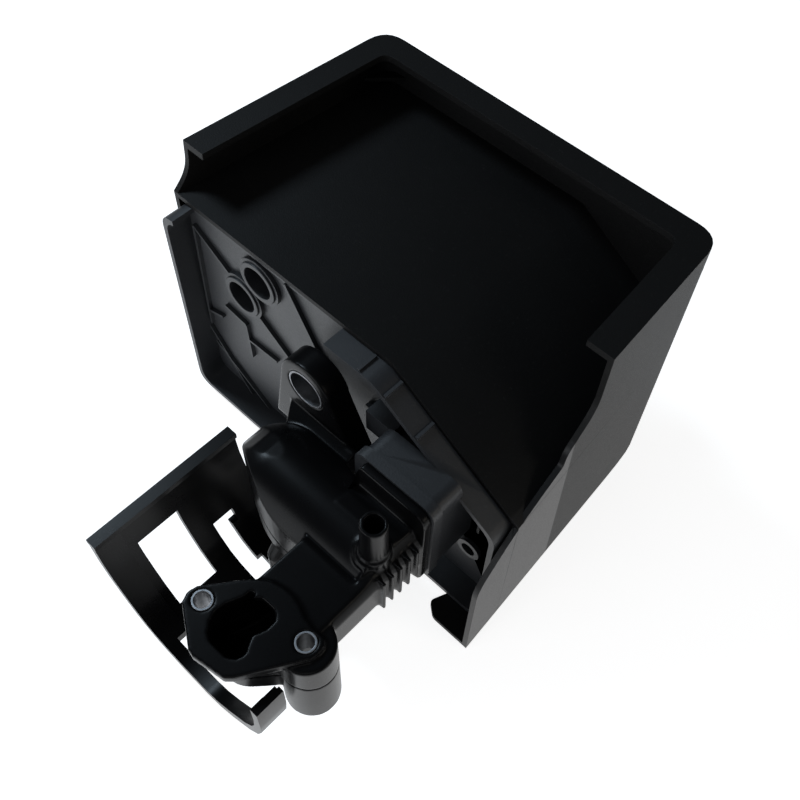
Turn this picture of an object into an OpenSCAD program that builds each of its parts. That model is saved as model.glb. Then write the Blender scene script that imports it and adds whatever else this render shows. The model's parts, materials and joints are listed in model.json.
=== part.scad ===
// Air cleaner of a small horizontal-shaft engine, lying on its outer face.
// The case stands open side forward; an elbow and a guard reach forward from it.
// Every sub-part is drawn in the case frame: X along the back wall, Y from the
// joint face to the back wall, Z from the main face up to the engine side.
// The model's origin is the middle of the carburettor flange, on its face.

/* [Cover] */
// Width of the cover across its back wall
cover_w = 180; // [172:1:190]
// Depth of the cover from its open face to the back wall
cover_d = 120; // [116:1:130]
// Height from the main face to the top of the lip
lip_z = 152; // [146:1:160]
// Height from the main face to the flat engine side panel
panel_z = 129; // [127:1:131]
// Height of the low end of the bevel on the right
low_z = 86; // [84:1:88]
// Distance from the left wall to the crease where the bevel starts
crease_x = 119; // [114:1:121]
// How far the left wall leans out over the depth
flare_left = 10; // [6:1:12]
// How far the right wall leans out over the depth
flare_right = 8; // [6:1:9]
// Thickness of the moulded walls
wall = 2.5; // [2:0.1:2.8]
// Width of the flat lip
lip_w = 12.3; // [9:0.1:16]
// Thickness of the flat lip
lip_t = 3.2; // [2.5:0.1:5]
// Reach of the right wall and the bottom flap in front of the open face
flap_reach = 23; // [16:1:26]

/* [Base plate] */
// Gap between the base plate's edge and the cover
plate_gap = 0.5; // [0.3:0.1:0.8]
// How far the base plate's rim stands out in front of the open face
rim_reach = 10.6; // [8:0.2:12]
// Outside radius of an air inlet tube
inlet_r = 10.5; // [9:0.1:11]
// Inside radius of an air inlet tube
inlet_bore_r = 8; // [6:0.1:8.5]

/* [Elbow] */
// Height of the top of the elbow's chamber
chamber_top = 92; // [90:0.5:94]
// Thickness of the elbow's walls
elbow_wall = 2.5; // [2:0.1:3]
// Outside radius of the breather nipple
nipple_r = 5.5; // [5:0.1:6]
// Radius of the hole in the stay lug
lug_hole_r = 9.6; // [8:0.1:10]

/* [Carburettor flange] */
// Distance between the two carburettor studs
stud_pitch = 42; // [40:0.5:43]
// Inside radius of the steel collars
collar_bore_r = 3.3; // [3.1:0.05:3.5]
// Outside radius of the steel collars
collar_r = 4.3; // [4.2:0.1:4.9]
// Thickness of the flange plate
flange_t = 5; // [4:0.5:6]
// Angle of the stud line from the back wall's direction
stud_angle = 21.4; // [18:0.2:24]

/* [Guard] */
// Thickness of the guard's sheet
guard_t = 2.5; // [2:0.1:3]
// Front edge of the guard, measured from the open face
guard_front = 118; // [116:1:122]

/* [Filter element] */
// Number of paper pleats
pleats = 22; // [14:1:26]
// Depth that the folded paper takes at each fold, along the air's way
fold_depth = 6; // [4:0.5:9]

/* [Hidden] */
$fn = 64;
eps = 0.01;
steps = 6;

// Carburettor flange: middle of the stud line, in the case frame
flange_at = [142.6, -97, 88];

// The bevel falls in a straight line from the crease to the right wall
mouth_right = cover_w + flare_right;
bevel_slope = (panel_z - low_z) / (mouth_right - crease_x);

// Base plate: the face lies just inside the cover's mouth
face_y = 2;
face_back_y = face_y + wall;
plate_left = -flare_left + wall + plate_gap;
plate_right = mouth_right - wall - plate_gap;
plate_bottom = wall + plate_gap;
plate_top = panel_z - wall - plate_gap;
inlets = [[28, 91], [41, 111]];

// Neck block on the base plate, where the elbow plugs in
neck_x = [126, 166];
neck_z = [50, 104];
neck_y = -27;
neck_wall = 3;
lip_back_y = -22;
hood_back_y = -9.5;
tube_top = 92;
seal_t = 3;
socket_gap = 0.3;
port_x = [135, 151];
port_z = [60, 84];

// Elbow
spigot_top = 91;
spigot_bottom = 54;
split_back = 57;
split_front = 72;
stud_seat_depth = 16;
boss_r = 5.8;
tower_r = 11.5;
tower_foot_z = 35;
tower_bore_r = 6.8;
lug_at = [89, 100];
lug_r = 14.8;
lug_y = [-19.3, -8];
sleeve_t = 1;
nipple_at = [156, -48];
nipple_top = 115;
nipple_bore_r = 3.8;

// Guard
guard_back = 44;
guard_left = 66;
guard_right = 166;
guard_floor_z = 12;
guard_top_z = 74;
guard_lip_y = -106;
guard_posts = [[112, -50], [112, -62]];
post_r = 4;

// Cover studs and knobs
studs_at = [[20, 50], [104, 111]];
stud_r = 3;
stud_clear = 0.2;
stud_back = cover_d + 11;
stud_boss_y = 15;
stud_boss_r = 6.5;
knob_r = 12;
knob_h = 14;
knob_seal_t = 1.5;
insert_r = 5;
insert_clear = 0.05;

// Filter element, between the base plate and the cover's back wall
element_x = [57, 158];
element_z = [8, 93.5];
seal_depth = 4.5;
seal_w = 6;
frame_y = [9.2, 39];
foam_y = [39.4, 51];
grid_t = 2;

// ---- Shared shapes ----

function unit(v) = v / norm(v);

// One corner of an outline, rounded off by cutting the given length from each side
function corner(a, p, b, cut) =
    cut == 0 ? [p] :
    let (s = p + cut * unit(a - p), e = p + cut * unit(b - p))
    [for (i = [0:steps]) let (t = i / steps)
        (1 - t) * (1 - t) * s + 2 * t * (1 - t) * p + t * t * e];

function softened(pts, cuts) =
    let (n = len(pts))
    [for (i = [0:n - 1]) each corner(pts[(i + n - 1) % n], pts[i], pts[(i + 1) % n], cuts[i])];

function rect(x, z) = [[x[0], z[0]], [x[1], z[0]], [x[1], z[1]], [x[0], z[1]]];

function grown(range, by) = [range[0] - by, range[1] + by];

function left_x(y) = -flare_left * (cover_d - y) / cover_d;

function right_x(y) = cover_w + flare_right * (cover_d - y) / cover_d;

function bevel_at(x) = panel_z - (x - crease_x) * bevel_slope;

// Moves a sub-part from the case frame to the model's own frame
module in_case() {
    translate(-flange_at) children();
}

// Extrudes an outline drawn in X and Z along Y
module along_y(y0, y1) {
    translate([0, y1, 0]) rotate([90, 0, 0]) linear_extrude(y1 - y0) children();
}

// Extrudes an outline drawn in Y and Z along X
module along_x(x0, x1) {
    translate([x0, 0, 0]) rotate([90, 0, 90]) linear_extrude(x1 - x0) children();
}

// A straight round bar along Y
module rod_y(x, z, r, y0, y1) {
    translate([x, y0, z]) rotate([-90, 0, 0]) cylinder(r = r, h = y1 - y0);
}

module block(x, y, z) {
    translate([x[0], y[0], z[0]]) cube([x[1] - x[0], y[1] - y[0], z[1] - z[0]]);
}

// ---- Cover ----

corner_cut = 11;
back_edge_cut = 26;
lip_end_left = 9;
lip_end_right = 44;
flap_left = 163;

// Plan outline of the cover, inset by t
module cover_plan(t, front) {
    cut = corner_cut - t / 2;
    back = cover_d - t;
    polygon(softened([[left_x(front) + t, front], [left_x(back) + t, back],
                      [right_x(back) - t, back], [right_x(front) - t, front]],
                     [0, cut, cut, 0]));
}

// Section across the case: flat panel on the left, bevel on the right
module cover_section(t) {
    far_left = -40;
    far_right = 240;
    polygon([[far_left, t], [far_right, t], [far_right, bevel_at(far_right) - t],
             [crease_x, panel_z - t], [far_left, panel_z - t]]);
}

// Side outline with a large radius where the main face turns into the back wall
module cover_side(t, front) {
    polygon(softened([[front, t], [cover_d - t, t], [cover_d - t, lip_z + 1], [front, lip_z + 1]],
                     [0, back_edge_cut - t, 0, 0]));
}

module cover_mass(t, front) {
    intersection() {
        linear_extrude(lip_z) cover_plan(t, front);
        along_y(front, cover_d) cover_section(t);
        along_x(-40, 240) cover_side(t, front);
    }
}

// The left skirt rises in an S from the panel to the lip
module left_side() {
    polygon(softened([[0, 0], [cover_d, 0], [cover_d, lip_z], [lip_end_left, lip_z],
                      [lip_end_left - 1, panel_z + 8], [0, panel_z]],
                     [0, back_edge_cut, 0, 0, 7, 0]));
}

// The right skirt falls in an S to a low wall that reaches in front of the open face
module right_side() {
    foot_y = lip_end_right - 16;
    polygon(softened([[-flap_reach, 0], [cover_d, 0], [cover_d, lip_z], [lip_end_right, lip_z],
                      [lip_end_right, lip_z - 32], [foot_y, low_z + 20], [foot_y - 1, low_z + 12],
                      [0, low_z], [-flap_reach, low_z - 22]],
                     [0, back_edge_cut, 0, 0, 8, 3, 2, 16, 8]));
}

module skirt() {
    difference() {
        linear_extrude(lip_z) cover_plan(0, -flap_reach);
        translate([0, 0, -1]) linear_extrude(lip_z + 2) cover_plan(wall, -flap_reach - 1);
    }
}

module lip() {
    difference() {
        translate([0, 0, lip_z - lip_t]) linear_extrude(lip_t) cover_plan(0, 0);
        translate([0, 0, lip_z - lip_t - 1]) linear_extrude(lip_t + 2) cover_plan(lip_w, -1);
    }
}

// Everything that stands around the panel, trimmed to the two side outlines
module trimmed_skirt() {
    intersection() {
        union() {
            skirt();
            lip();
        }
        union() {
            along_x(-40, crease_x) left_side();
            along_x(crease_x, 240) right_side();
        }
    }
}

// Gusset between the back wall and a side wall, under the lip
module gusset(x, turn) {
    leg = 13;
    translate([x, cover_d - wall - 0.5, panel_z + 4]) rotate([0, 0, turn])
        linear_extrude(2) polygon([[-1, 1], [leg, 1], [-1, -leg]]);
}

// Ledge inside the mouth that presses on the gasket
module gasket_ledge() {
    ledge_y = face_back_y + 3.4;
    ledge_w = 3.8;
    along_y(ledge_y, ledge_y + wall) difference() {
        polygon(plate_outline(-plate_gap - 1));
        polygon(plate_outline(ledge_w));
    }
}

module bottom_flap() {
    intersection() {
        linear_extrude(wall) cover_plan(0, -flap_reach);
        translate([0, 0, -1]) linear_extrude(wall + 2)
            polygon(softened([[flap_left, -flap_reach + 5], [flap_left + 6, -flap_reach],
                              [mouth_right + 5, -flap_reach], [mouth_right + 5, 1],
                              [flap_left + 8, 1]],
                             [2, 2, 0, 0, 3]));
    }
}

module cover() {
    color([0.06, 0.06, 0.07]) in_case() difference() {
        union() {
            difference() {
                cover_mass(0, 0);
                cover_mass(wall, -1);
            }
            trimmed_skirt();
            bottom_flap();
            gusset(left_x(cover_d) + wall, 0);
            gusset(right_x(cover_d) - wall, -90);
            intersection() {
                gasket_ledge();
                cover_mass(wall / 2, 0);
            }
            for (s = studs_at)
                rod_y(s[0], s[1], knob_r - 2, cover_d - wall - 4, cover_d - wall + eps);
        }
        for (s = studs_at)
            rod_y(s[0], s[1], stud_r + stud_clear + 0.4, cover_d - 20, cover_d + 1);
    }
}

module knob_seals() {
    color([0.05, 0.05, 0.05]) in_case() for (s = studs_at) difference() {
        rod_y(s[0], s[1], knob_r - 3, cover_d, cover_d + knob_seal_t);
        rod_y(s[0], s[1], stud_r + stud_clear, cover_d - 1, cover_d + knob_seal_t + 1);
    }
}

// ---- Base plate ----

// Outline of the base plate, inset by t, nested in the cover's mouth
function plate_outline(t) =
    let (right = plate_right - t, top = plate_top - t, drop = (wall + plate_gap + t) * 1.2)
    softened([[plate_left + t, plate_bottom + t], [right, plate_bottom + t],
              [right, bevel_at(right) - drop],
              [crease_x - t / 3, top], [plate_left + t, top]],
             [8, 8, 5, 4, 8]);

// Thin rib on the plate's outer face, between two points in X and Z
module face_rib(a, b) {
    rib_t = 1.4;
    rib_h = 2;
    run = b - a;
    translate([a[0], face_y - rib_h, a[1]]) rotate([0, -atan2(run[1], run[0]), 0])
        translate([0, 0, -rib_t / 2]) cube([norm(run), rib_h + 1, rib_t]);
}

module face_ribs() {
    top_left = [plate_left + 6, 114];
    low_left = [plate_left + 4, 44];
    knee = [plate_left + 5, 30];
    face_rib(top_left, low_left);
    face_rib(low_left, knee);
    face_rib(knee, [34, plate_bottom + 2]);
    face_rib([plate_left + 2, 40], [22, plate_bottom + 1]);
    face_rib(top_left, inlets[0] + [-8, 8]);
    face_rib(inlets[0] + [9, -7], [66, 62]);
    face_rib([58, plate_top - 2], [84, 78]);
    face_rib([plate_left + 4, 54], [8, 58]);
    face_rib([12, 70], [26, 68]);
    face_rib([26, 68], [27, 44]);
    face_rib([27, 57], [46, 58]);
    face_rib([104, 84], [124, 78]);
    face_rib([170, 56], [170, 74]);
}

// Short ribs across the rim, where it runs along the bevel
module rim_ribs() {
    for (x = [110, 124, 141]) {
        top = x < crease_x ? plate_top : bevel_at(x) - (wall + plate_gap) * 1.2;
        block([x, x + 1.4], [-rim_reach + 0.5, -0.5], [top - 4, top + 1.2]);
    }
}

// The rim is left out under the flat panel, where the cover's edge closes it
module plate_rim() {
    difference() {
        along_y(-rim_reach, face_back_y) difference() {
            polygon(plate_outline(0));
            polygon(plate_outline(wall));
        }
        block([plate_left + 8, 92], [-rim_reach - 1, face_y - 1], [100, panel_z]);
    }
}

// Outline of the neck's socket, inset by t
module socket_outline(t) {
    inset = neck_wall + t;
    polygon(rect(grown(neck_x, -inset), [neck_z[0] + inset, tube_top - inset]));
}

// A tube from the plate, a lip that the elbow bolts up to, and a hood over the tube
module neck_block() {
    difference() {
        union() {
            along_y(neck_y, face_back_y)
                polygon(softened(rect(neck_x, [neck_z[0], tube_top]), [6, 6, 5, 5]));
            along_y(neck_y, lip_back_y)
                polygon(softened(rect(grown(neck_x, 1), grown(neck_z, 1)), [6, 6, 6, 6]));
            along_y(lip_back_y - eps, hood_back_y) difference() {
                polygon(softened(rect(neck_x, neck_z), [6, 6, 6, 6]));
                polygon(rect(grown(neck_x, -wall), [tube_top, neck_z[1] - wall]));
            }
            block([112, neck_x[0] + 1], [-7.6, face_y], [84, 97]);
        }
        along_y(neck_y - 1, face_back_y + 1) socket_outline(0);
    }
}

module base_plate() {
    color([0.17, 0.19, 0.21]) in_case() difference() {
        union() {
            along_y(face_y, face_back_y) polygon(plate_outline(0));
            plate_rim();
            face_ribs();
            neck_block();
            rim_ribs();
            for (p = inlets)
                rod_y(p[0], p[1], inlet_r + 1.6, face_y - 2, face_back_y);
            for (s = studs_at)
                rod_y(s[0], s[1], stud_boss_r, face_back_y - eps, stud_boss_y);
            rod_y(168, 40, 6, face_y - 4, face_y + eps);
            block([neck_x[0] - 2, neck_x[1] + 2], [face_y, face_back_y],
                  [neck_z[0] - 2, tube_top + 1]);
        }
        for (p = inlets)
            rod_y(p[0], p[1], inlet_r + 0.1, face_y - 9, face_back_y + 1);
        block(port_x, [face_y - 9, face_back_y + 1], port_z);
        for (s = studs_at)
            rod_y(s[0], s[1], stud_r, face_y + 1.2, stud_boss_y + 1);
        rod_y(168, 40, 3.6, face_y - 5, face_y - 1);
    }
}

module inlet_snorkels() {
    color([0.13, 0.14, 0.16]) in_case() for (p = inlets) difference() {
        union() {
            rod_y(p[0], p[1], inlet_r, face_y - 3, 50);
            rod_y(p[0], p[1], inlet_r + 0.8, face_back_y + 0.1, face_back_y + 2);
        }
        rod_y(p[0], p[1], inlet_bore_r, face_y - 4, 51);
    }
}

module cover_gasket() {
    color([0.04, 0.04, 0.04]) in_case() along_y(face_back_y, face_back_y + 3.2) difference() {
        polygon(plate_outline(0.4));
        polygon(plate_outline(3.4));
    }
}

module neck_seal() {
    color([0.04, 0.04, 0.04]) in_case() along_y(face_y - seal_t, face_y) difference() {
        socket_outline(socket_gap);
        polygon(rect(port_x, port_z));
    }
}

module outlet_screen() {
    pitch = 5;
    edge = 1.6;
    y = [face_y + 0.2, face_back_y - 0.3];
    x = grown(port_x, -0.2);
    z = grown(port_z, -0.2);
    color([0.3, 0.3, 0.32]) in_case() {
        difference() {
            block(x, y, z);
            block(grown(x, -edge), [y[0] - 1, y[1] + 1], grown(z, -edge));
        }
        for (px = [x[0] + pitch:pitch:x[1] - 2])
            block([px, px + 0.8], y, grown(z, -edge / 2));
        for (pz = [z[0] + pitch:pitch:z[1] - 2])
            block(grown(x, -edge / 2), y, [pz, pz + 0.8]);
    }
}

// ---- Elbow ----

// Height of the seam where the upper and lower shells are welded
function seam_z(y) = split_back + (split_front - split_back) * (neck_y - y) / (guard_front + neck_y);

// Chamber across the elbow: a soft box, rounded on all sides and tapered to the left
module chamber() {
    top = chamber_top;
    intersection() {
        linear_extrude(110) polygon(softened(
            [[76, -22], [76, -47], [110, -63.5], [159, -63], [159, -30], [124.5, -27.2], [100, -21.5]],
            [14, 10, 12, 8, 4, 4, 6]));
        along_x(70, 170) polygon(softened(
            [[-21, 46], [-21, top], [-68, top], [-66, 46]], [12, 22, 24, 14]));
        along_y(-70, -20) polygon(softened(
            [[76, 44], [76, top], [162, top], [162, 44]], [14, 27, 0, 0]));
    }
}

// The space inside the chamber, with plainly bevelled sides
module chamber_hollow() {
    ceiling = chamber_top - elbow_wall - 2;
    intersection() {
        linear_extrude(110)
            polygon([[92, -27], [88, -32], [88, -46], [112, -57.5], [154, -59], [154, -27]]);
        along_x(86, 156) polygon([[-32, 49.5], [-25, 58], [-25, 78], [-36, ceiling], [-47, ceiling],
                                  [-61, 78], [-61, 56], [-54, 49.5]]);
    }
}

// Plan outline of the duct from the neck to the carburettor flange
module duct_plan(t) {
    polygon(softened([[131 + t, neck_y - 1], [131 + t, -88], [126 + t, -104], [133 + t, -115 + t],
                      [149 - t, -114 + t], [165 - t, -92], [165 - t, neck_y - 1]],
                     [0, 6, 5, 5, 5, 8, 0]));
}

// Side outline of the duct: deep at the neck, shallow under the flange
module duct_side(t) {
    flange_under = flange_at[2] - 1 - t;
    polygon(softened([[neck_y, spigot_bottom + t], [neck_y, spigot_top - t], [-44, spigot_top - t],
                      [-60, flange_under], [-118, flange_under], [-118, 66 + t], [-104, 56 + t]],
                     [0, 0, 5, 5, 0, 6, 10]));
}

// Section of the duct: its top and bottom corners on the right are cut back
module duct_section(t) {
    polygon(softened([[110, 40 + t], [151, 40 + t], [165.5 - t, 66 + t], [165.5 - t, 83 - t],
                      [159 - t, 92 - t / 2], [159, 100], [110, 100]],
                     [0, 8, 6, 4, 3, 0, 0]));
}

module duct_body(t) {
    intersection() {
        linear_extrude(110) duct_plan(t);
        along_x(110, 170) duct_side(t);
        along_y(-119, neck_y) duct_section(t);
    }
}

module elbow_outer() {
    chamber();
    duct_body(0);
}

// Everything below the welded seam
module below_seam() {
    along_x(60, 190) polygon([[0, 0], [0, seam_z(0)], [-130, seam_z(-130)], [-130, 0]]);
}

// Flange plate around the two studs
module flange_outline() {
    polygon([[-24.5, -13.5], [-26.2, -9.5], [-25.5, -5.5], [-16, 7], [-13, 10.5], [-7, 14.9],
             [-2, 16.3], [4, 16.5], [8, 15.6], [13, 13.6], [18, 12.9], [23, 13.6], [25.6, 11.5],
             [26, 8], [25.4, 4.5], [10.6, -19.2], [8, -21.6], [-6, -24], [-9, -23.4]]);
}

// Intake port, with a small notch at its back
module port_outline() {
    polygon([[-11.4, -11], [-12.8, -7.5], [-12.3, -3], [-10.6, 1], [-9.6, 3.6], [-9.3, 7.6],
             [-7.4, 7.6], [-6.6, 5.9], [-4.2, 8.1], [2.2, 8.3], [5.6, 5.7], [5.8, 1.2],
             [3.6, -4.3], [7.2, -10.5], [6.2, -13.8], [2.9, -15.9], [-5.6, -16.1], [-8.4, -14.6]]);
}

// The stud line crosses the flange at an angle to the back wall
module at_stud(i) {
    translate(flange_at) rotate([0, 0, stud_angle]) translate([(i - 0.5) * stud_pitch, 0, 0])
        children();
}

// Short boss around the left stud, and a tower around the right one
module stud_towers() {
    at_stud(0) translate([0, 0, -stud_seat_depth]) cylinder(r = boss_r, h = stud_seat_depth - 2);
    at_stud(1) translate([0, 0, tower_foot_z - flange_at[2]])
        cylinder(r = tower_r, h = flange_at[2] - tower_foot_z - 2);
}

// Seats for the steel collars, and a wider bore for a nut driver up the tower
module stud_bores() {
    for (i = [0, 1]) at_stud(i)
        translate([0, 0, -stud_seat_depth - 1]) cylinder(r = collar_r, h = stud_seat_depth + 2);
    at_stud(1) translate([0, 0, -60]) cylinder(r = tower_bore_r, h = 60 - stud_seat_depth);
}

// Ring lug on a web behind the chamber
module stay_lug() {
    rod_y(lug_at[0], lug_at[1], lug_r, lug_y[0], lug_y[1]);
    along_y(lug_y[0], lug_y[1]) polygon([[68, 64], [74.4, 102], [103.6, 102], [122, 64]]);
    block([80, 118], [-32, lug_y[0] + 1], [62, 84]);
}

// Plate that meets the neck's lip, and the collar that plugs into the socket
module neck_flange() {
    along_y(neck_y - 4, neck_y) polygon(softened(rect(neck_x, neck_z), [6, 6, 6, 6]));
    along_y(neck_y - eps, face_y - seal_t) socket_outline(socket_gap);
}

// Stiffening ribs that wrap around the right side of the neck
module neck_ribs() {
    rib_pitch = 4.6;
    for (i = [0:4])
        block([158, 167.4], [-54 + i * rib_pitch, -52.6 + i * rib_pitch],
              [spigot_bottom + 10, spigot_top - 4]);
}

module nipple() {
    foot_z = spigot_top - 6;
    translate([nipple_at[0], nipple_at[1], foot_z]) {
        cylinder(r = nipple_r, h = nipple_top - foot_z);
        cylinder(r = nipple_r + 1.2, h = 8);
    }
}

// Everything that is open inside the elbow; the stud towers stay closed
module elbow_hollows() {
    difference() {
        union() {
            chamber_hollow();
            duct_body(elbow_wall);
            translate(flange_at - [0, 0, 17]) linear_extrude(25) port_outline();
        }
        stud_towers();
    }
    block(port_x, [neck_y - 10, face_y], port_z);
    stud_bores();
}

module elbow_upper_shell() {
    color([0.05, 0.05, 0.06]) in_case() difference() {
        union() {
            difference() {
                union() {
                    elbow_outer();
                    neck_ribs();
                    stud_towers();
                }
                below_seam();
            }
            translate(flange_at - [0, 0, flange_t]) linear_extrude(flange_t) flange_outline();
            stay_lug();
            neck_flange();
            nipple();
        }
        elbow_hollows();
        rod_y(lug_at[0], lug_at[1], lug_hole_r, lug_y[0] - 1, lug_y[1] + 1);
        translate([nipple_at[0], nipple_at[1], spigot_top - 12])
            cylinder(r = nipple_bore_r, h = nipple_top);
    }
}

module elbow_lower_shell() {
    color([0.06, 0.06, 0.07]) in_case() difference() {
        union() {
            intersection() {
                union() {
                    elbow_outer();
                    stud_towers();
                }
                below_seam();
            }
            for (p = guard_posts)
                translate([p[0], p[1], guard_floor_z + guard_t + 1])
                    cylinder(r = post_r, h = 35);
        }
        elbow_hollows();
        block([110, 180], [neck_y - 4, 0], [40, 110]);
        for (p = guard_posts)
            translate([p[0], p[1], guard_floor_z - 1]) cylinder(r = 1.4, h = 16);
    }
}

// Steel sleeve that lines the lug
module lug_sleeve() {
    color([0.72, 0.74, 0.76]) in_case() difference() {
        rod_y(lug_at[0], lug_at[1], lug_hole_r, lug_y[0], lug_y[1]);
        rod_y(lug_at[0], lug_at[1], lug_hole_r - sleeve_t, lug_y[0] - 1, lug_y[1] + 1);
    }
}

module stud_collars() {
    color([0.72, 0.74, 0.76]) in_case() for (i = [0, 1])
        at_stud(i) translate([0, 0, -stud_seat_depth]) difference() {
            cylinder(r = collar_r, h = stud_seat_depth);
            translate([0, 0, -1]) cylinder(r = collar_bore_r, h = stud_seat_depth + 2);
        }
}

// ---- Guard ----

// Section of the guard across the machine; each point moves inwards by the wall t
module guard_section(t) {
    outline = [[guard_left, 120, 1, 0], [guard_left, 72, 1, 0], [67.5, 58, 1, 0.1],
               [70.5, 47, 0.95, 0.3], [75, 37, 0.9, 0.45], [80, 28, 0.85, 0.55],
               [86, 20.5, 0.7, 0.7], [93, 15.5, 0.5, 0.9], [101, guard_floor_z + 1, 0.2, 1],
               [110, guard_floor_z, 0, 1], [126, guard_floor_z, 0, 1], [135, 15, -0.4, 0.9],
               [144, 22, -0.6, 0.8], [156, 34, -0.7, 0.7], [162, 43, -0.9, 0.5],
               [165, 52, -1, 0.2], [guard_right, 62, -1, 0], [guard_right, 120, -1, 0]];
    polygon([for (p = outline) [p[0] + t * p[2], p[1] + t * p[3]]]);
}

// A length of the guard's wall, open at the top
module guard_channel(y0, y1, t) {
    difference() {
        along_y(y0, y1) guard_section(0);
        translate([0, 0, 1]) along_y(y0 - 1, y1 + 1) guard_section(t);
        block([0, 110], [y0 - 1, y1 + 1], [guard_top_z, 130]);
        block([109, 200], [y0 - 1, y1 + 1], [76, 130]);
    }
}

module waisted_slot() {
    block([60, 106], [-70, -62.5], [0, 37]);
    block([60, 90], [-70, -59], [31, 37]);
    block([96, 106], [-70, -60], [0, 24]);
}

module carburettor_guard() {
    front = -guard_front;
    color([0.06, 0.06, 0.07]) in_case() difference() {
        union() {
            guard_channel(front, guard_lip_y, guard_t + 1.2);
            guard_channel(guard_lip_y, -guard_back, guard_t);
            block([guard_left - 1, guard_left + 4.5], [front, -guard_back],
                  [guard_top_z - 3, guard_top_z]);
        }
        block([60, 90], [-101.5, -80.5], [0, 55]);
        waisted_slot();
        block([100, 150], [-112, -76], [0, 60]);
        block([137, 200], [front + 13, 0], [0, 130]);
        for (p = guard_posts)
            translate([p[0], p[1], 0]) cylinder(r = 1.8, h = 40);
    }
}

module guard_screws() {
    color([0.6, 0.61, 0.63]) in_case() for (p = guard_posts)
        translate([p[0], p[1], guard_floor_z - 2]) {
            cylinder(r = 1.35, h = 15);
            difference() {
                cylinder(r = 3.4, h = 2);
                translate([-4, -0.4, -1]) cube([8, 0.8, 1.8]);
                translate([-0.4, -4, -1]) cube([0.8, 8, 1.8]);
            }
        }
}

// ---- Cover studs and knobs ----

module cover_studs() {
    color([0.66, 0.67, 0.69]) in_case() for (s = studs_at)
        rod_y(s[0], s[1], stud_r, face_y + 1.2, stud_back);
}

module stud_washers() {
    color([0.66, 0.67, 0.69]) in_case() for (s = studs_at) difference() {
        rod_y(s[0], s[1], 6, stud_boss_y, stud_boss_y + 1.2);
        rod_y(s[0], s[1], stud_r + 0.05, stud_boss_y - 1, stud_boss_y + 2);
    }
}

module stud_nuts() {
    nut_h = 4;
    y = stud_boss_y + 1.2;
    color([0.6, 0.61, 0.63]) in_case() for (s = studs_at) difference() {
        translate([s[0], y, s[1]]) rotate([-90, 0, 0]) cylinder(r = 5.8, h = nut_h, $fn = 6);
        rod_y(s[0], s[1], stud_r + 0.05, y - 1, y + nut_h + 1);
    }
}

// Hand knob with rounded lobes, closed over the end of the stud
module knob(s) {
    lobes = 6;
    base_y = cover_d + knob_seal_t + 0.1;
    translate([s[0], base_y, s[1]]) rotate([-90, 0, 0]) difference() {
        union() {
            cylinder(r = knob_r - 4, h = knob_h);
            translate([0, 0, 3]) cylinder(r = knob_r - 1.5, h = knob_h - 4.5);
            for (i = [0:lobes - 1]) rotate([0, 0, (i + 0.5) * 360 / lobes])
                translate([knob_r - 3.2, 0, 3.5]) cylinder(r = 3.2, h = knob_h - 5.5);
        }
        translate([0, 0, -1]) cylinder(r = insert_r, h = knob_h - 2);
    }
}

module knob_insert(s) {
    base_y = cover_d + knob_seal_t + 0.1;
    difference() {
        rod_y(s[0], s[1], insert_r, base_y, base_y + knob_h - 3);
        rod_y(s[0], s[1], stud_r + insert_clear, base_y - 1, base_y + knob_h - 2);
    }
}

module left_knob() {
    color([0.05, 0.05, 0.05]) in_case() knob(studs_at[0]);
}

module right_knob() {
    color([0.05, 0.05, 0.05]) in_case() knob(studs_at[1]);
}

module left_knob_insert() {
    color([0.78, 0.62, 0.3]) in_case() knob_insert(studs_at[0]);
}

module right_knob_insert() {
    color([0.78, 0.62, 0.3]) in_case() knob_insert(studs_at[1]);
}

// ---- Filter element ----

module element_seal() {
    color([0.75, 0.35, 0.12]) in_case()
        along_y(face_back_y + 0.1, face_back_y + 0.1 + seal_depth) difference() {
            polygon(softened(rect(element_x, element_z), [3, 3, 3, 3]));
            polygon(rect(grown(element_x, -seal_w), grown(element_z, -seal_w)));
        }
}

module element_frame() {
    t = 1.6;
    x = grown(element_x, -2);
    z = grown(element_z, -2);
    color([0.1, 0.1, 0.11]) in_case() along_y(frame_y[0], frame_y[1]) difference() {
        polygon(rect(x, z));
        polygon(rect(grown(x, -t), grown(z, -t)));
    }
}

// The paper is folded back and forth across the depth of the frame
module filter_paper() {
    x = grown(element_x, -4.2);
    z = grown(element_z, -4.2);
    y = [frame_y[0] + 1.5, frame_y[1] - 1.5 - fold_depth];
    n = 2 * pleats;
    pitch = (x[1] - x[0]) / n;
    fold = [for (i = [0:n]) [x[0] + i * pitch, y[i % 2]]];
    across = [0, fold_depth];
    color([0.85, 0.8, 0.66]) in_case() translate([0, 0, z[0]]) linear_extrude(z[1] - z[0])
        polygon(concat(fold, [for (i = [n:-1:0]) fold[i] + across]));
}

module foam_prefilter() {
    color([0.2, 0.2, 0.21]) in_case()
        block(grown(element_x, -3), foam_y, grown(element_z, -3));
}

module foam_retainer() {
    x = grown(element_x, -2);
    z = grown(element_z, -2);
    y0 = foam_y[1] + 0.2;
    bar = 2;
    across = 6;
    down = 5;
    color([0.1, 0.1, 0.11]) in_case() {
        along_y(y0, y0 + grid_t) difference() {
            polygon(rect(x, z));
            polygon(rect(grown(x, -4), grown(z, -4)));
        }
        for (i = [1:across - 1]) let (at = x[0] + i * (x[1] - x[0]) / across)
            block([at - bar / 2, at + bar / 2], [y0, y0 + grid_t], grown(z, -2));
        for (i = [1:down - 1]) let (at = z[0] + i * (z[1] - z[0]) / down)
            block(grown(x, -2), [y0, y0 + grid_t], [at - bar / 2, at + bar / 2]);
    }
}

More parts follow.
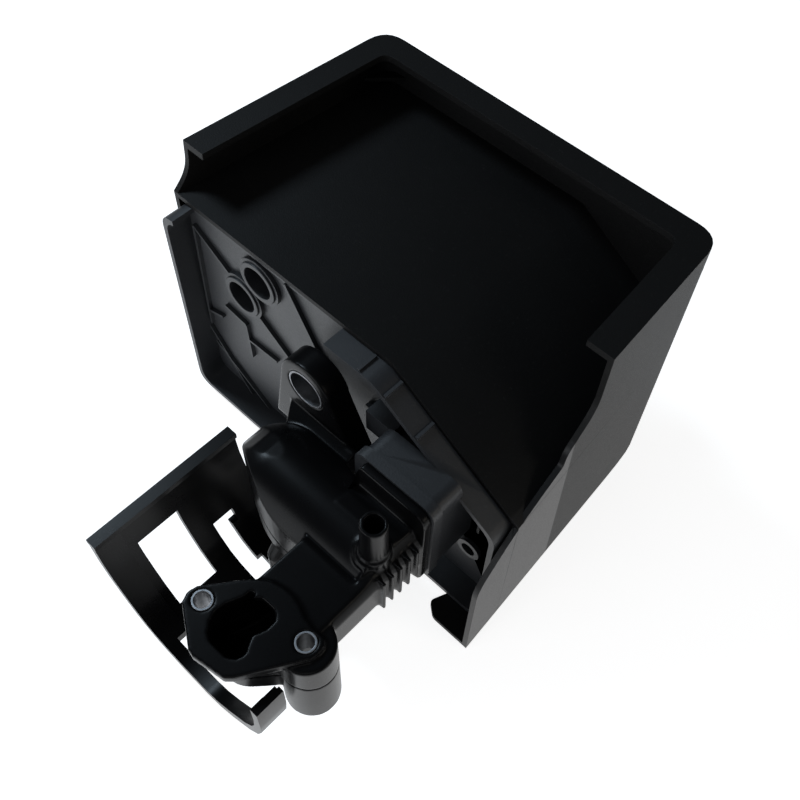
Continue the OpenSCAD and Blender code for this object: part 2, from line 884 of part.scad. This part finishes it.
base_plate();
inlet_snorkels();
cover_gasket();
neck_seal();
outlet_screen();
elbow_upper_shell();
elbow_lower_shell();
stud_collars();
lug_sleeve();
carburettor_guard();
guard_screws();
cover_studs();
stud_nuts();
stud_washers();
filter_paper();
element_seal();
element_frame();
foam_prefilter();
foam_retainer();
cover();
knob_seals();
left_knob();
left_knob_insert();
right_knob();
right_knob_insert();
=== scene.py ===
"""Air filter housing: materials, soft pieces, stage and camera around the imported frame."""
import json
import math
import random

import bpy
from mathutils import Matrix, Vector, noise


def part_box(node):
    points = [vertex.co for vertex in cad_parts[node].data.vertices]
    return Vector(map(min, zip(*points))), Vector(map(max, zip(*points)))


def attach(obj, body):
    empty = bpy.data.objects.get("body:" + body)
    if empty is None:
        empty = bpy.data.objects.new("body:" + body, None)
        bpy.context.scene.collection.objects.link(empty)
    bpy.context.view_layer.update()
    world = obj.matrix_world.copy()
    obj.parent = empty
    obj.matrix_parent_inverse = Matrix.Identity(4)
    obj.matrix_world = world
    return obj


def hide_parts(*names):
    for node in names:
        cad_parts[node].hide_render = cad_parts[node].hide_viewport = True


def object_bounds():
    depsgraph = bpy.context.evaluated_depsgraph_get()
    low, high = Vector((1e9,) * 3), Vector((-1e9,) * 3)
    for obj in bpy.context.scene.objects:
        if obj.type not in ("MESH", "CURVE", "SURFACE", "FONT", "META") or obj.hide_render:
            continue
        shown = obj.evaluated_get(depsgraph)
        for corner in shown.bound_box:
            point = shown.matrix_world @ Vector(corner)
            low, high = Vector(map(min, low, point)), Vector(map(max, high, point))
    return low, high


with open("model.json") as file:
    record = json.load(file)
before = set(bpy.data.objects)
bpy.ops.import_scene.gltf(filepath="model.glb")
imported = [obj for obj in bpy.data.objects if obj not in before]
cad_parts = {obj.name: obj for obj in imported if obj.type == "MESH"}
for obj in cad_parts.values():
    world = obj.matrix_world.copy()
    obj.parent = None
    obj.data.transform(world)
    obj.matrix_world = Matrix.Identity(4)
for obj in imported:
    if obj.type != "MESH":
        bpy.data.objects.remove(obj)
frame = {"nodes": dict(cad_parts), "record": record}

cad_low, cad_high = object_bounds()
MM = 0.001
BARELY = 1e-9


# ---- Node trees ----

class Tree:
    """Short calls for building one material's nodes."""

    def __init__(self, name):
        self.material = bpy.data.materials.new(name)
        self.material.use_nodes = True
        self.nodes = self.material.node_tree.nodes
        self.links = self.material.node_tree.links
        self.shader = self.nodes["Principled BSDF"]
        self.place = self.nodes.new("ShaderNodeTexCoord").outputs["Object"]

    def put(self, socket, value):
        if hasattr(value, "is_output"):
            self.links.new(value, socket)
        else:
            socket.default_value = value

    def set(self, **values):
        for name, value in values.items():
            self.put(self.shader.inputs[name.replace("_", " ")], value)

    def noise(self, scale, detail=2.0, rough=0.5, warp=0.0, stretch=None):
        node = self.nodes.new("ShaderNodeTexNoise")
        place = self.place
        if stretch:
            mapping = self.nodes.new("ShaderNodeMapping")
            mapping.inputs["Scale"].default_value = stretch
            self.links.new(place, mapping.inputs["Vector"])
            place = mapping.outputs["Vector"]
        self.links.new(place, node.inputs["Vector"])
        node.inputs["Scale"].default_value = scale
        node.inputs["Detail"].default_value = detail
        node.inputs["Roughness"].default_value = rough
        node.inputs["Distortion"].default_value = warp
        return node.outputs["Fac"]

    def cells(self, scale):
        node = self.nodes.new("ShaderNodeTexVoronoi")
        self.links.new(self.place, node.inputs["Vector"])
        node.inputs["Scale"].default_value = scale
        return node.outputs["Distance"]

    def span(self, value, low, high, to_low=0.0, to_high=1.0):
        node = self.nodes.new("ShaderNodeMapRange")
        self.put(node.inputs["Value"], value)
        for key, number in (("From Min", low), ("From Max", high), ("To Min", to_low), ("To Max", to_high)):
            node.inputs[key].default_value = number
        return node.outputs["Result"]

    def math(self, kind, a, b):
        node = self.nodes.new("ShaderNodeMath")
        node.operation = kind
        self.put(node.inputs[0], a)
        self.put(node.inputs[1], b)
        return node.outputs[0]

    def mix(self, amount, a, b):
        node = self.nodes.new("ShaderNodeMix")
        node.data_type = "RGBA"
        self.put(node.inputs["Factor"], amount)
        self.put(node.inputs["A"], a)
        self.put(node.inputs["B"], b)
        return node.outputs["Result"]

    def bump(self, height, distance, strength=1.0, normal=None):
        node = self.nodes.new("ShaderNodeBump")
        self.put(node.inputs["Height"], height)
        node.inputs["Distance"].default_value = distance
        node.inputs["Strength"].default_value = strength
        if normal is not None:
            self.links.new(normal, node.inputs["Normal"])
        return node.outputs["Normal"]

    def axis(self, name):
        node = self.nodes.new("ShaderNodeSeparateXYZ")
        self.links.new(self.place, node.inputs["Vector"])
        return node.outputs[name]


def shade(rgb, factor):
    return tuple(min(1.0, c * factor) for c in rgb) + (1.0,)


def moulded(name, rgb, rough, grain, grain_depth, flow_gloss=0.05, dusty=0.1, specular=0.5, uneven=0.045):
    """Moulded plastic: fine grain, slow flow marks, a little dust and uneven gloss."""
    t = Tree(name)
    flow = t.noise(22, 3, 0.55, 0.6)
    fine = t.noise(grain, 2, 0.6)
    speck = t.noise(grain * 0.33, 4, 0.7)
    body = t.mix(t.span(flow, 0.3, 0.7), shade(rgb, 0.84), shade(rgb, 1.16))
    dust_amount = t.math("MULTIPLY", t.span(speck, 0.56, 0.82), dusty)
    t.set(Base_Color=t.mix(dust_amount, body, (0.16, 0.16, 0.155, 1)),
          Roughness=t.math("ADD", t.span(fine, 0.3, 0.7, rough - uneven, rough + uneven),
                           t.span(flow, 0.3, 0.7, -flow_gloss, flow_gloss)),
          IOR=1.5, Specular_IOR_Level=specular,
          Normal=t.bump(fine, grain_depth, 1.0, t.bump(flow, 0.0002, 0.2)))
    return t.material


def cover_look():
    """Grained charcoal; the mouth end of the outer right wall is smooth and lighter."""
    border_low, border_high, border_lean = 0.1300, 0.1308, 0.067
    outer_low, outer_high = 0.0405, 0.0415
    skirt_low, skirt_high = 0.044, 0.062
    t = Tree("cover_satin")
    across, along, height = t.axis("X"), t.axis("Y"), t.axis("Z")
    leaning = t.math("ADD", along, t.math("MULTIPLY", height, border_lean))
    smooth = t.math("MULTIPLY", t.span(leaning, border_low, border_high, 1.0, 0.0),
                    t.span(across, outer_low, outer_high))
    flow = t.noise(20, 3, 0.55, 0.6)
    fine = t.noise(1700, 2, 0.65)
    speck = t.noise(620, 4, 0.7)
    grained = t.mix(t.span(height, skirt_low, skirt_high),
                    (0.0030, 0.0030, 0.0031, 1), (0.0045, 0.0045, 0.0046, 1))
    body = t.mix(smooth, grained, (0.009, 0.009, 0.0096, 1))
    cloudy = t.mix(t.span(flow, 0.3, 0.7, 0.0, 0.3), body, (0.008, 0.008, 0.008, 1))
    dust = t.math("MULTIPLY", t.span(speck, 0.6, 0.85), 0.16)
    rough = t.span(smooth, 0.0, 1.0, 0.56, 0.40)
    grain = t.math("MULTIPLY", fine, t.span(smooth, 0.0, 1.0, 1.0, 0.2))
    t.set(Base_Color=t.mix(dust, cloudy, (0.09, 0.09, 0.088, 1)),
          Roughness=t.math("ADD", rough, t.span(fine, 0.3, 0.7, -0.05, 0.06)),
          IOR=1.5, Specular_IOR_Level=0.19, Normal=t.bump(grain, 0.00011))
    return t.material


def rubber(name, rgb):
    t = Tree(name)
    cloud = t.noise(60, 3)
    fine = t.noise(1500, 3, 0.6)
    t.set(Base_Color=t.mix(t.span(cloud, 0.3, 0.7), shade(rgb, 0.8), shade(rgb, 1.35)),
          Roughness=t.span(fine, 0.3, 0.7, 0.6, 0.78), IOR=1.5,
          Normal=t.bump(fine, 0.00005, 0.6))
    return t.material


def plated(name, rgb, rough):
    """Zinc plated or turned metal with fine lines and faint passivation."""
    t = Tree(name)
    lines = t.noise(900, 2, 0.6, 0.0, (1.0, 1.0, 0.06))
    cloud = t.noise(180, 4, 0.6)
    t.set(Base_Color=t.mix(t.span(cloud, 0.35, 0.7), shade(rgb, 0.72), shade(rgb, 1.05)),
          Roughness=t.span(lines, 0.3, 0.7, rough - 0.08, rough + 0.1),
          Metallic=1.0, Normal=t.bump(lines, 0.00003, 0.5))
    return t.material


def paper_look():
    """Resin-treated filter paper: warm cream fibres."""
    t = Tree("pleat_paper")
    fibre = t.noise(2400, 3, 0.7, 0.0, (1.0, 1.0, 0.25))
    cloud = t.noise(70, 3)
    t.set(Base_Color=t.mix(t.span(cloud, 0.3, 0.7), (0.50, 0.40, 0.22, 1), (0.62, 0.52, 0.32, 1)),
          Roughness=0.88, Normal=t.bump(fibre, 0.00006, 0.8))
    return t.material


def foam_look():
    """Open-cell foam, lightly oiled; its colour carries painted shade, darker in the pore hollows."""
    t = Tree("oiled_foam")
    pore_relief_and_shade = t.cells(1100)
    coarse = t.noise(90, 3)
    # Colour: painted shade, dark in the pore hollows and lighter on the cell walls; the same pattern also
    # makes the pore bump.
    t.set(Base_Color=t.mix(t.span(pore_relief_and_shade, 0.05, 0.5), (0.004, 0.004, 0.005, 1), (0.035, 0.036, 0.040, 1)),
          Roughness=t.span(coarse, 0.3, 0.7, 0.7, 0.9),
          Normal=t.bump(pore_relief_and_shade, 0.0005))
    return t.material


looks = {
    "cover_plastic": cover_look(),
    "plate_plastic": moulded("plate_satin", (0.018, 0.0195, 0.0225), 0.46, 1500, 0.00005, 0.03),
    "elbow_plastic": moulded("elbow_gloss", (0.003, 0.003, 0.0034), 0.29, 900, 0.000004,
                             flow_gloss=0.02, dusty=0.0, specular=0.12, uneven=0.012),
    "frame_plastic": moulded("frame_satin", (0.030, 0.030, 0.034), 0.45, 1500, 0.00004),
    "knob_plastic": moulded("knob_satin", (0.009, 0.009, 0.0095), 0.42, 1500, 0.00005),
    "seal_rubber": rubber("seal_rubber", (0.010, 0.010, 0.010)),
    "element_rubber": rubber("element_rubber", (0.36, 0.10, 0.025)),
    "filter_media": paper_look(),
    "filter_foam": foam_look(),
    "collar_steel": plated("collar_zinc", (0.30, 0.31, 0.33), 0.45),
    "screw_steel": plated("screw_zinc", (0.50, 0.50, 0.52), 0.36),
    "screen_steel": plated("screen_wire", (0.38, 0.38, 0.40), 0.4),
    "insert_brass": plated("insert_brass", (0.72, 0.50, 0.20), 0.3),
}

# ---- CAD nodes: moulded edges and finishes ----

slot_of = {p["node"]: p["material_slot"] for p in frame["record"]["subparts"]}

# Edge radii in mm; any node left out has the small one.
small_edge = 0.2
edge_round = {"cover": 0.7, "base_plate": 0.5, "inlet_snorkels": 0.5, "carburettor_guard": 0.6,
              "stud_collars": 0.25, "left_knob": 0.8, "right_knob": 0.8, "element_frame": 0.5,
              "element_seal": 0.6, "foam_retainer": 0.3, "cover_gasket": 0.5, "stud_nuts": 0.3}

# The two elbow shells: skin cell in mm, and how often it is smoothed.
skin_cell = 0.6
skin_passes = {"elbow_upper_shell": 8, "elbow_lower_shell": 6}


def smooth_shaded(obj):
    obj.data.polygons.foreach_set("use_smooth", [True] * len(obj.data.polygons))
    weld = obj.modifiers.new("weld", "WELD")
    weld.merge_threshold = 0.01 * MM


def round_edges(obj, width):
    smooth_shaded(obj)
    flat = obj.modifiers.new("flat", "DECIMATE")
    flat.decimate_type = "DISSOLVE"
    flat.angle_limit = math.radians(1.0)
    edge = obj.modifiers.new("edges", "BEVEL")
    edge.width = width * MM
    edge.segments = 2
    edge.limit_method = "ANGLE"
    edge.angle_limit = math.radians(34)
    edge.use_clamp_overlap = True
    obj.modifiers.new("normals", "WEIGHTED_NORMAL")


def barrel_fit(p):
    """Rounds the resonator chamber's crossed prisms to the domed barrel that they frame.

    The duct, its ribs, the stay lug and the nipple keep their shape.
    """
    barrel_end, radius = Vector((-0.0446, 0.0535, -0.020)), 0.0238
    chamber_front, chamber_back, chamber_floor = 0.0265, 0.0758, -0.042
    duct_side, duct_top, ribs_side = -0.0118, -0.0008, 0.0155
    nipple_x, nipple_y, nipple_clear = 0.0134, 0.049, 0.0085
    if not chamber_front < p.y < chamber_back or p.z < chamber_floor:
        return p
    if p.x > duct_side and (p.y > barrel_end.y or p.z < duct_top or p.x > ribs_side):
        return p
    if math.hypot(p.x - nipple_x, p.y - nipple_y) < nipple_clear:
        return p
    axis = Vector((max(p.x, barrel_end.x), barrel_end.y, barrel_end.z))
    out = p - axis
    return axis + out * (radius / out.length) if out.length > radius else p


def moulded_skin(node):
    """The shell again as one soft-edged moulding, made from its CAD solid."""
    solid = frame["nodes"][node]
    smooth_shaded(solid)
    skin = solid.modifiers.new("skin", "REMESH")
    skin.mode = "VOXEL"
    skin.voxel_size = skin_cell * MM
    bpy.context.view_layer.update()
    mesh = bpy.data.meshes.new_from_object(solid.evaluated_get(bpy.context.evaluated_depsgraph_get()))
    solid.modifiers.clear()
    for v in mesh.vertices:
        v.co = barrel_fit(v.co.copy())
    mesh.polygons.foreach_set("use_smooth", [True] * len(mesh.polygons))
    mesh.materials.clear()
    mesh.materials.append(looks[slot_of[node]])
    obj = bpy.data.objects.new(node + "_moulding", mesh)
    bpy.context.scene.collection.objects.link(obj)
    fillet = obj.modifiers.new("fillets", "SMOOTH")
    fillet.factor = 0.5
    fillet.iterations = skin_passes[node]
    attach(obj, "base")
    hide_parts(node)


for node, obj in list(frame["nodes"].items()):
    obj.data.materials.clear()
    obj.data.materials.append(looks[slot_of[node]])
    if node in skin_passes:
        moulded_skin(node)
    else:
        round_edges(obj, edge_round.get(node, small_edge))


# ---- Pieces that stand for plain CAD solids ----

def mesh_object(name, verts, faces, slot_name, body):
    mesh = bpy.data.meshes.new(name)
    mesh.from_pydata(verts, [], faces)
    mesh.polygons.foreach_set("use_smooth", [True] * len(mesh.polygons))
    mesh.materials.append(looks[slot_name])
    mesh.update()
    obj = bpy.data.objects.new(name, mesh)
    bpy.context.scene.collection.objects.link(obj)
    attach(obj, body)
    return obj


def grid_faces(rows, cols, wrap=False):
    last = cols if wrap else cols - 1
    return [(r * cols + c, r * cols + (c + 1) % cols, (r + 1) * cols + (c + 1) % cols, (r + 1) * cols + c)
            for r in range(rows - 1) for c in range(last)]


def pleated_paper():
    """One sheet folded to and fro along the element, a little uneven from fold to fold."""
    low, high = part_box("filter_paper")
    pleats, steps, rows = 32, 8, 14
    margin, paper, unevenness = 0.3 * MM, 0.4 * MM, 0.14
    fold_sharpness, sway_turns = 0.75, 3.1
    chance = random.Random(7)
    shift = [chance.uniform(-unevenness, unevenness) * MM for _ in range(pleats + 1)]
    verts = []
    for r in range(rows):
        z = low.z + (high.z - low.z) * r / (rows - 1)
        for i in range(pleats * steps + 1):
            turn = i / steps
            x = low.x + margin + (high.x - low.x - 2 * margin) * turn / pleats
            wave = math.cos(2 * math.pi * turn)
            fold = math.copysign(abs(wave) ** fold_sharpness, wave)
            y = (low.y + high.y) / 2 + (high.y - low.y - 2 * margin) / 2 * fold
            sway = shift[int(turn + 0.5)] * math.sin(sway_turns * r / rows + turn)
            verts.append((x + sway, y, z))
    obj = mesh_object("pleated_paper", verts, grid_faces(rows, pleats * steps + 1), "filter_media", "element")
    skin = obj.modifiers.new("thickness", "SOLIDIFY")
    skin.thickness = paper
    skin.offset = 0.0
    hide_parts("filter_paper")


def foam_slab():
    """A foam slab with soft rims, a slight crown on both faces and open pores."""
    low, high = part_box("foam_prefilter")
    middle, half = (low + high) / 2, (high - low) / 2
    rim, crown_height = 2.2 * MM, 0.35 * MM
    pore_depth, wave_depth = 0.35 * MM, 0.18 * MM
    coarse_pores, fine_pores, waves = 620, 1300, 45
    across, up, deep = 120, 102, 14

    def pitted(p, n):
        pore = noise.noise(p * coarse_pores) + 0.6 * noise.noise(p * fine_pores)
        return p - n * (pore_depth * max(0.0, pore) + wave_depth * abs(noise.noise(p * waves)))

    def soft(u, v, w):
        p = Vector((u * half.x, v * half.y, w * half.z))
        core = Vector([max(-half[i] + rim, min(half[i] - rim, p[i])) for i in range(3)])
        out = p - core
        n = out.normalized() if out.length > BARELY else Vector((0, 0, 0))
        if out.length > rim:
            p = core + n * rim
        side = 1 if v > 0 else -1
        sunk = crown_height - crown_height * (1 - u * u) * (1 - w * w)
        if abs(v) == 1 and out.length < rim * 1.01:
            n = Vector((0, side, 0))
        return pitted(middle + p, n) - Vector((0, side * sunk, 0))

    around = [(-1 + 2 * k / across, -1) for k in range(across)]
    around += [(1, -1 + 2 * k / up) for k in range(up)]
    around += [(1 - 2 * k / across, 1) for k in range(across)]
    around += [(-1, 1 - 2 * k / up) for k in range(up)]
    verts = [soft(u, -1 + 2 * k / deep, w) for k in range(deep + 1) for u, w in around]
    faces = grid_faces(deep + 1, len(around), True)
    for v, first in ((-1, 0), (1, deep * len(around))):
        index = {}
        for place, (u, w) in enumerate(around):
            index[(round((u + 1) / 2 * across), round((w + 1) / 2 * up))] = first + place
        for i in range(1, across):
            for j in range(1, up):
                index[(i, j)] = len(verts)
                verts.append(soft(-1 + 2 * i / across, v, -1 + 2 * j / up))
        for i in range(across):
            for j in range(up):
                quad = (index[(i, j)], index[(i + 1, j)], index[(i + 1, j + 1)], index[(i, j + 1)])
                faces.append(quad if v < 0 else quad[::-1])
    obj = mesh_object("foam_slab", verts, faces, "filter_foam", "prefilter")
    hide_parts("foam_prefilter")


def threaded_studs():
    """Two studs with a rolled thread at each end and a plain shank between."""
    low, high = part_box("cover_studs")
    radius, pitch, thread_depth = 3.0 * MM, 1.0 * MM, 0.5 * MM
    root_thread, tip_thread = 18 * MM, 34 * MM
    end_bevel, bevel_slope, inset = 1.2 * MM, 0.6, 0.02 * MM
    around, turn_rows = 24, 6
    for name, x, z in (("left_stud", low.x + radius, low.z + radius),
                       ("right_stud", high.x - radius, high.z - radius)):
        verts, rows = [], 0
        y = low.y
        while y <= high.y + BARELY:
            from_root, from_tip = y - low.y, high.y - y
            threaded = from_root < root_thread or from_tip < tip_thread
            bevel = max(0.0, end_bevel - min(from_root, from_tip)) * bevel_slope
            for k in range(around):
                a = 2 * math.pi * k / around
                saw = abs(((y / pitch + k / around) % 1.0) * 2 - 1)
                r = radius - inset - (thread_depth * saw if threaded else 0.0) - bevel
                verts.append((x + r * math.cos(a), y, z + r * math.sin(a)))
            rows += 1
            y += pitch / turn_rows if threaded else pitch
        faces = [f[::-1] for f in grid_faces(rows, around, True)]
        faces.append(tuple(range(around)))
        faces.append(tuple(reversed(range((rows - 1) * around, rows * around))))
        obj = mesh_object(name, verts, faces, "screw_steel", "base")
        obj.data.polygons[-1].use_smooth = False
        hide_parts("cover_studs")


pleated_paper()
foam_slab()
threaded_studs()

# ---- Stage, light and camera ----

floor_reach = 4
floor_mesh = bpy.data.meshes.new("floor")
floor_mesh.from_pydata([(-floor_reach, -floor_reach, 0), (floor_reach, -floor_reach, 0),
                        (floor_reach, floor_reach, 0), (-floor_reach, floor_reach, 0)], [], [(0, 1, 2, 3)])
floor = bpy.data.objects.new("floor", floor_mesh)
floor.location.z = cad_low[2]
bpy.context.scene.collection.objects.link(floor)
t = Tree("floor_paper")
t.set(Base_Color=t.mix(t.noise(3), (0.84, 0.84, 0.85, 1), (0.87, 0.87, 0.87, 1)), Roughness=0.95,
      Emission_Color=(1.0, 1.0, 1.0, 1), Emission_Strength=0.82)
floor_mesh.materials.append(t.material)

world = bpy.data.worlds.new("studio")
world.use_nodes = True
world.node_tree.nodes["Background"].inputs["Color"].default_value = (0.90, 0.95, 1.0, 1)
world.node_tree.nodes["Background"].inputs["Strength"].default_value = 0.07
bpy.context.scene.world = world
bpy.context.scene.view_settings.view_transform = "Standard"

centre = (Vector(cad_low) + Vector(cad_high)) / 2


def area_light(name, at, size, power, colour=(1, 1, 1)):
    """A disk light at a place measured from the part's centre, which it faces."""
    data = bpy.data.lights.new(name, "AREA")
    data.shape = "DISK"
    data.size = size
    data.energy = power
    data.color = colour
    obj = bpy.data.objects.new(name, data)
    obj.location = centre + Vector(at)
    obj.rotation_euler = (-Vector(at)).to_track_quat("-Z", "Y").to_euler()
    bpy.context.scene.collection.objects.link(obj)


area_light("overhead", (0.5, -0.6, 1.1), 0.9, 1.0)
area_light("left_box", (-0.57, -0.02, 0.70), 0.24, 3.4, (0.72, 0.87, 1.0))
area_light("front_box", (-0.25, -1.15, 0.28), 0.9, 5.5, (0.92, 0.96, 1.0))
area_light("right_box", (1.1, 0.3, 0.5), 0.5, 1.2, (1.0, 0.93, 0.82))

# The camera as solved from the photograph's straight edges.
azimuth, elevation, roll = (math.radians(a) for a in (41.61, 56.61, 2.28))
aim, distance = Vector((-0.0469, 0.1283, -0.0430)), 0.4695
back = Vector((math.sin(azimuth) * math.cos(elevation), -math.cos(azimuth) * math.cos(elevation),
               math.sin(elevation)))
right = Vector((math.cos(azimuth), math.sin(azimuth), 0))
up = back.cross(right)
right, up = (math.cos(roll) * right + math.sin(roll) * up, math.cos(roll) * up - math.sin(roll) * right)
camera_data = bpy.data.cameras.new("camera")
camera_data.lens = 44.94
camera_data.sensor_width = 36
camera_data.clip_start = 0.01
camera = bpy.data.objects.new("camera", camera_data)
facing = Matrix((right, up, back)).transposed().to_4x4()
camera.matrix_world = Matrix.Translation(aim + distance * back) @ facing
bpy.context.scene.collection.objects.link(camera)
bpy.context.scene.camera = camera
